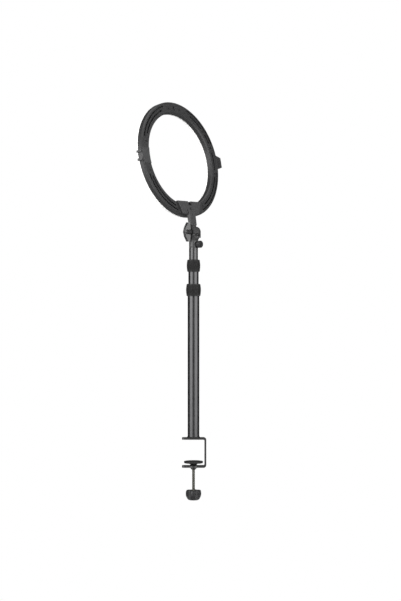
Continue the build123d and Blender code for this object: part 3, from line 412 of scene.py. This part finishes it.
def knurled_grip(node, nut, settings):
    """Barrel-shaped rubber grip with rows of raised blocks."""
    low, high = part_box(node)
    belly = radius_of(node) - settings.depth
    inner = radius_of(nut) + GRIP_FIT
    half = (high.z - low.z) / 2
    middle = (high.z + low.z) / 2
    edge = GRIP_EDGE
    heights = [low.z + edge + 2 * (half - edge) * row / settings.rows for row in range(settings.rows + 1)]
    side = [(belly - settings.crown * ((z - middle) / half) ** 2, 0, z) for z in heights]
    closed = [(inner, 0, low.z), (side[0][0] - edge, 0, low.z), *side, (side[-1][0] - edge, 0, high.z),
              (inner, 0, high.z), (inner, 0, low.z)]
    bm = bmesh.new()
    bmesh.ops.spin(bm, geom=outline(bm, closed), cent=(0, 0, 0), axis=(0, 0, 1), angle=FULL_TURN,
                   steps=settings.columns, use_merge=True)
    bmesh.ops.remove_doubles(bm, verts=bm.verts, dist=1e-6)
    for vert in bm.verts:
        row = min(range(len(heights)), key=lambda i: abs(heights[i] - vert.co.z))
        if row % 2 and vert.co.xy.length > inner + edge:
            vert.co.rotate(Matrix.Rotation(math.pi / settings.columns, 3, "Z"))
    bmesh.ops.recalc_face_normals(bm, faces=bm.faces)
    skin = belly - settings.crown - edge / 2
    blocks = [face for face in bm.faces
              if face.calc_center_median().xy.length > skin and abs(face.normal.z) < 0.5]
    bmesh.ops.inset_individual(bm, faces=blocks, thickness=settings.groove, depth=settings.depth)
    piece = object_from(bm, f"{node}_knurled")
    shade_by_angle(piece, 25)
    return piece


def threaded_rod(name, radius, low, high, settings):
    """Screw thread as one winding surface, closed at both ends."""
    root = radius - settings.thread
    turns = math.floor((high - low) / settings.pitch)
    flat = settings.pitch / 8
    flank = (settings.pitch - 2 * flat) / 2
    profile = [(root, 0, low), (root, 0, low + flat), (radius, 0, low + flat + flank),
               (radius, 0, low + 2 * flat + flank), (root, 0, low + settings.pitch)]
    bm = bmesh.new()
    bmesh.ops.spin(bm, geom=outline(bm, profile), cent=(0, 0, 0), axis=(0, 0, 1), angle=FULL_TURN * turns,
                   steps=THREAD_STEPS * turns, dvec=(0, 0, settings.pitch / THREAD_STEPS))
    bmesh.ops.remove_doubles(bm, verts=bm.verts, dist=1e-5)
    bmesh.ops.holes_fill(bm, edges=[edge for edge in bm.edges if edge.is_boundary], sides=0)
    bmesh.ops.triangulate(bm, faces=[face for face in bm.faces if len(face.verts) > 4])
    return object_from(bm, name)


# ---- Operators ----

class RINGLIGHT_OT_groups(Operator):
    """Build the shared surface effects."""

    bl_idname = "ringlight.groups"
    bl_label = "Shared surface effects"

    def execute(self, context):
        grain_group()
        brushed_group()
        dust_group()
        return {"FINISHED"}


class RINGLIGHT_OT_finishes(Operator):
    """Make every finish and give it to the CAD nodes that carry it."""

    bl_idname = "ringlight.finishes"
    bl_label = "Finishes"

    def execute(self, context):
        tones = context.scene.ring_light.colours
        grained("moulded shell", tones.shell, 0.42, 1600, 0.35)
        grained("moulded neck", tones.neck, 0.40, 1600, 0.35)
        grained("white diffuser", tones.diffuser, 0.45, 900, 0.05, blotch=0.03, dust=0.0)
        grained("powder coat", tones.coat, 0.32, 1100, 0.25, blotch=0.3)
        grained("black rubber", tones.rubber, 0.70, 1300, 0.5, blotch=0.4, specular=0.28)
        grained("moulded knob", tones.knob, 0.36, 1500, 0.35, specular=0.40)
        grained("grey acetal", (0.25, 0.25, 0.25), 0.5, 1500, 0.2)
        # Painted light on the flat sides of the wing knob.
        wing_with_painted_light("wing knob with painted light", tones.wing, tones.knob)
        # Partly painted shade: the board's tone is black so the slots of the shell look shaded.
        grained("circuit board", tones.board, 0.35, 1200, 0.2, dust=0.0)
        grained("phosphor", (0.85, 0.68, 0.22), 0.3, 1200, 0.1, dust=0.0)
        drawn_metal("anodised tube", tones.tube, 0.30, (1.0, 1.0, 0.02), 1500, 0.25)
        drawn_metal("bare steel", tones.steel, 0.33, (0.05, 0.05, 1.0), 1800, 0.3)
        drawn_metal("blackened steel", (0.06, 0.06, 0.06), 0.4, (1.0, 1.0, 0.3), 1500, 0.3)
        drawn_metal("turned brass", (0.60, 0.43, 0.18), 0.3, (1.0, 1.0, 0.1), 1500, 0.2)
        for finish, nodes in FINISHED_NODES.items():
            for node in nodes:
                mesh = frame["nodes"][node].data
                mesh.materials.clear()
                mesh.materials.append(bpy.data.materials[finish])
        return {"FINISHED"}


class RINGLIGHT_OT_grips(Operator):
    """Cut the knurl of the two collar grips."""

    bl_idname = "ringlight.grips"
    bl_label = "Collar grips"

    def execute(self, context):
        settings = context.scene.ring_light.grips
        for collar in ("lower", "upper"):
            node = f"{collar}_collar_grip"
            piece = knurled_grip(node, f"{collar}_collar_nut", settings)
            piece.data.materials.append(bpy.data.materials["black rubber"])
            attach(piece, f"{collar}_collar")
            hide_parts(node)
        return {"FINISHED"}


class RINGLIGHT_OT_clamp_screw(Operator):
    """Cut the thread of the clamp screw and add its ball end."""

    bl_idname = "ringlight.clamp_screw"
    bl_label = "Clamp screw"

    def execute(self, context):
        settings = context.scene.ring_light.grips
        low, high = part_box("clamp_screw")
        ball = radius_of("clamp_screw")
        rod_radius = radius_of("clamp_knob_insert") - INSERT_WALL
        rod = threaded_rod("clamp_screw_thread", rod_radius, low.z, high.z - ball, settings)
        bm = bmesh.new()
        bmesh.ops.create_uvsphere(bm, u_segments=24, v_segments=12, radius=ball)
        bmesh.ops.translate(bm, verts=bm.verts, vec=(0, 0, high.z - ball))
        tip = object_from(bm, "clamp_screw_ball")
        tip.data.shade_smooth()
        for piece in (rod, tip):
            piece.data.materials.append(bpy.data.materials["bare steel"])
            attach(piece, "screw")
        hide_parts("clamp_screw")
        return {"FINISHED"}


class RINGLIGHT_OT_studio(Operator):
    """Set up the floor, backdrop, lights and camera."""

    bl_idname = "ringlight.studio"
    bl_label = "Studio"

    def execute(self, context):
        studio = context.scene.ring_light.studio
        build_stage()
        build_lights(studio)
        build_world(studio)
        build_camera(studio)
        context.scene.view_settings.view_transform = "Standard"
        return {"FINISHED"}


def build_stage():
    """Pale sweep: a floor that curves up into a backdrop."""
    floor = CAD_BOX[0][2] - 0.25
    back, front, half, rise, bend = -9.0, 8.0, 8.0, 4.0, 1.2
    profile = [(front, -half, floor), (back + bend, -half, floor)]
    bends = 12
    for step in range(1, bends + 1):
        angle = math.pi / 2 * step / bends
        profile.append((back + bend - bend * math.sin(angle), -half, floor + bend * (1 - math.cos(angle))))
    profile.append((back, -half, floor + rise))
    bm = bmesh.new()
    start = outline(bm, profile)
    edges = [item for item in start if isinstance(item, bmesh.types.BMEdge)]
    grown = bmesh.ops.extrude_edge_only(bm, edges=edges)["geom"]
    verts = [item for item in grown if isinstance(item, bmesh.types.BMVert)]
    bmesh.ops.translate(bm, verts=verts, vec=(0, 2 * half, 0))
    sweep = object_from(bm, "sweep")
    sweep.data.shade_smooth()
    material, tree, shader = new_material("pale sweep")
    shader.inputs["Base Color"].default_value = (0.42, 0.42, 0.42, 1)
    shader.inputs["Roughness"].default_value = 0.9
    glow = add(tree, "ShaderNodeEmission", {"Color": (1, 1, 1, 1), "Strength": 1.0})
    seen = add(tree, "ShaderNodeLightPath")
    mixed = add(tree, "ShaderNodeMixShader")
    link(tree, seen.outputs["Is Camera Ray"], mixed.inputs[0])
    link(tree, shader.outputs[0], mixed.inputs[1])
    link(tree, glow.outputs[0], mixed.inputs[2])
    link(tree, mixed.outputs[0], tree.nodes["Material Output"].inputs["Surface"])
    sweep.data.materials.append(material)


def area_light(name, place, target, size, power):
    """Rectangular soft light aimed at a point."""
    data = bpy.data.lights.new(name, "AREA")
    data.shape = "RECTANGLE"
    data.size, data.size_y = size
    data.energy = power
    lamp = bpy.data.objects.new(name, data)
    lamp.location = place
    lamp.rotation_euler = (Vector(target) - Vector(place)).to_track_quat("-Z", "Y").to_euler()
    bpy.context.scene.collection.objects.link(lamp)


def build_lights(studio):
    """Two wide softboxes either side of the camera and one soft light overhead."""
    middle = (0, 0, 0.3)
    for name, degrees, width in (("left softbox", -48, 2.7), ("right softbox", 52, 3.0)):
        angle = math.radians(degrees)
        place = (SOFTBOX_AWAY * math.cos(angle), SOFTBOX_AWAY * math.sin(angle), SOFTBOX_HEIGHT)
        area_light(name, place, middle, (width, 2.6), studio.softboxes)
    area_light("overhead", (0.3, 0, 2.6), middle, (2.0, 2.0), studio.top)


def build_world(studio):
    """White to the camera, a dim grey room to everything else."""
    world = bpy.data.worlds.new("studio room")
    world.use_nodes = True
    tree = world.node_tree
    tree.nodes.clear()
    room = add(tree, "ShaderNodeBackground", {"Color": (1, 1, 1, 1), "Strength": studio.ambient})
    white = add(tree, "ShaderNodeBackground", {"Color": (1, 1, 1, 1), "Strength": 1.0})
    seen = add(tree, "ShaderNodeLightPath")
    mixed = add(tree, "ShaderNodeMixShader")
    out = add(tree, "ShaderNodeOutputWorld")
    link(tree, seen.outputs["Is Camera Ray"], mixed.inputs[0])
    link(tree, room.outputs[0], mixed.inputs[1])
    link(tree, white.outputs[0], mixed.inputs[2])
    link(tree, mixed.outputs[0], out.inputs["Surface"])
    bpy.context.scene.world = world


def build_camera(studio):
    """Level camera looking along -X."""
    data = bpy.data.cameras.new("camera")
    data.lens = studio.lens
    camera = bpy.data.objects.new("camera", data)
    camera.location = (studio.distance, studio.side, studio.height)
    camera.rotation_euler = (math.pi / 2, 0, math.pi / 2)
    bpy.context.scene.collection.objects.link(camera)
    bpy.context.scene.camera = camera


class RINGLIGHT_PT_sidebar(Panel):
    """Settings and build steps."""

    bl_idname = "RINGLIGHT_PT_sidebar"
    bl_label = "Ring light"
    bl_space_type = "VIEW_3D"
    bl_region_type = "UI"
    bl_category = "Ring light"

    def draw(self, context):
        settings = context.scene.ring_light
        for step in BUILD_STEPS:
            self.layout.operator(step.bl_idname)
        for group in (settings.colours, settings.grips, settings.studio):
            box = self.layout.box()
            for name in group.__annotations__:
                box.prop(group, name)


BUILD_STEPS = (RINGLIGHT_OT_groups, RINGLIGHT_OT_finishes, RINGLIGHT_OT_grips, RINGLIGHT_OT_clamp_screw,
               RINGLIGHT_OT_studio)
CLASSES = (RingLightColours, RingLightGrips, RingLightStudio, RingLightSettings, *BUILD_STEPS,
           RINGLIGHT_PT_sidebar)


def register():
    """Add the classes and the scene's settings."""
    for cls in CLASSES:
        bpy.utils.register_class(cls)
    bpy.types.Scene.ring_light = PointerProperty(type=RingLightSettings)


def unregister():
    """Take the classes and the settings away again."""
    del bpy.types.Scene.ring_light
    for cls in reversed(CLASSES):
        bpy.utils.unregister_class(cls)


def main():
    """Run every build step."""
    register()
    bpy.ops.ringlight.groups()
    bpy.ops.ringlight.finishes()
    bpy.ops.ringlight.grips()
    bpy.ops.ringlight.clamp_screw()
    bpy.ops.ringlight.studio()
    bpy.context.view_layer.update()


if __name__ == "__main__":
    main()
